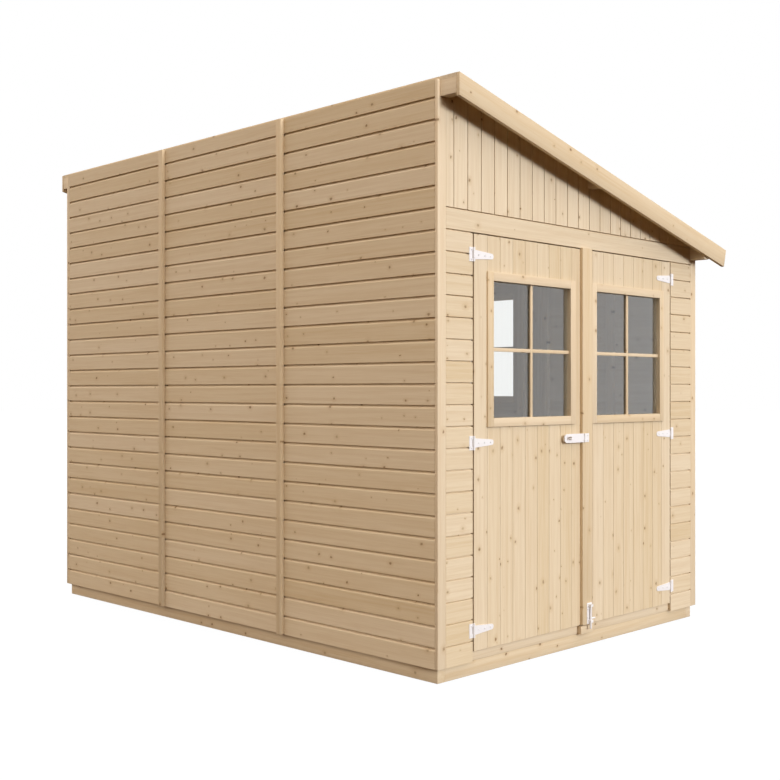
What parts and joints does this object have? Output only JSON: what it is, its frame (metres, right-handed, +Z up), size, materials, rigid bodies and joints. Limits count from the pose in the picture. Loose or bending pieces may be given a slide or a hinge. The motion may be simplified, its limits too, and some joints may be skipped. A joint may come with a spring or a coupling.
{
  "type": "wooden garden shed",
  "caption": "Timber garden shed with a pent roof, horizontal board walls, glazed doors on strap hinges with a hasp and a bolt, a side window and a raised board floor.",
  "frame": {"origin": "on the ground, under the middle of the whole shed's box", "axes": "+Z up, the doors face -Y, the tall wall is on the -X side, +Y runs along the shed's length"},
  "size_m": [2.177, 3.169, 2.483],
  "materials": {
    "spruce_boards": "planed, untreated",
    "spruce_trim": "planed, untreated",
    "framing_timber": "sawn",
    "floor_boards": "planed",
    "window_glazing": "clear sheet",
    "white_hardware": "satin white"
  },
  "bodies": {
    "shed": {"tall_wall_panels": "spruce_boards", "low_wall_panels": "spruce_boards", "low_wall_window_panel": "spruce_boards", "back_wall_panels": "spruce_boards", "back_gable": "spruce_boards", "front_wall_panels": "spruce_boards", "front_header": "spruce_boards", "front_gable": "spruce_boards", "roof_deck": "spruce_boards", "corner_strips": "spruce_trim", "cover_battens": "spruce_trim", "bargeboards": "spruce_trim", "side_window_trim": "spruce_trim", "side_window_sash": "spruce_trim", "keeper_block": "spruce_trim", "side_bearers": "framing_timber", "end_bearers": "framing_timber", "floor_joists": "framing_timber", "threshold": "framing_timber", "wall_studs": "framing_timber", "wall_rails": "framing_timber", "purlins": "framing_timber", "floor_deck": "floor_boards", "side_window_glass": "window_glazing", "hinge_plates": "white_hardware"},
    "left_door": {"left_door_boards": "spruce_boards", "left_door_ledges": "framing_timber", "left_door_brace": "framing_timber", "left_window_trim": "spruce_trim", "left_window_sash": "spruce_trim", "left_window_glass": "window_glazing", "left_hinge_straps": "white_hardware", "hasp_staple": "white_hardware"},
    "right_door": {"right_door_boards": "spruce_boards", "right_door_ledges": "framing_timber", "right_door_brace": "framing_timber", "right_window_trim": "spruce_trim", "right_window_sash": "spruce_trim", "right_window_glass": "window_glazing", "right_hinge_straps": "white_hardware", "meeting_strip": "spruce_trim", "hasp_plate": "white_hardware", "bolt_case": "white_hardware"},
    "hasp": {"hasp_flap": "white_hardware"},
    "bolt": {"bolt_rod": "white_hardware"}
  },
  "joints": [
    {"name": "left_door_hinge", "type": "hinge", "parent": "shed", "child": "left_door", "pos_m": [-0.849, -1.4855, 0.98], "axis": [0, 0, -1], "range_deg": [0, 150]},
    {"name": "right_door_hinge", "type": "hinge", "parent": "shed", "child": "right_door", "pos_m": [0.7, -1.4855, 0.98], "axis": [0, 0, 1], "range_deg": [0, 150]},
    {"name": "hasp_hinge", "type": "hinge", "parent": "right_door", "child": "hasp", "pos_m": [-0.0795, -1.5023, 0.982], "axis": [0, 0, 1], "range_deg": [0, 170]},
    {"name": "bolt_slide", "type": "slide", "parent": "right_door", "child": "bolt", "axis": [0, 0, 1], "range_m": [0, 0.03]}
  ]
}
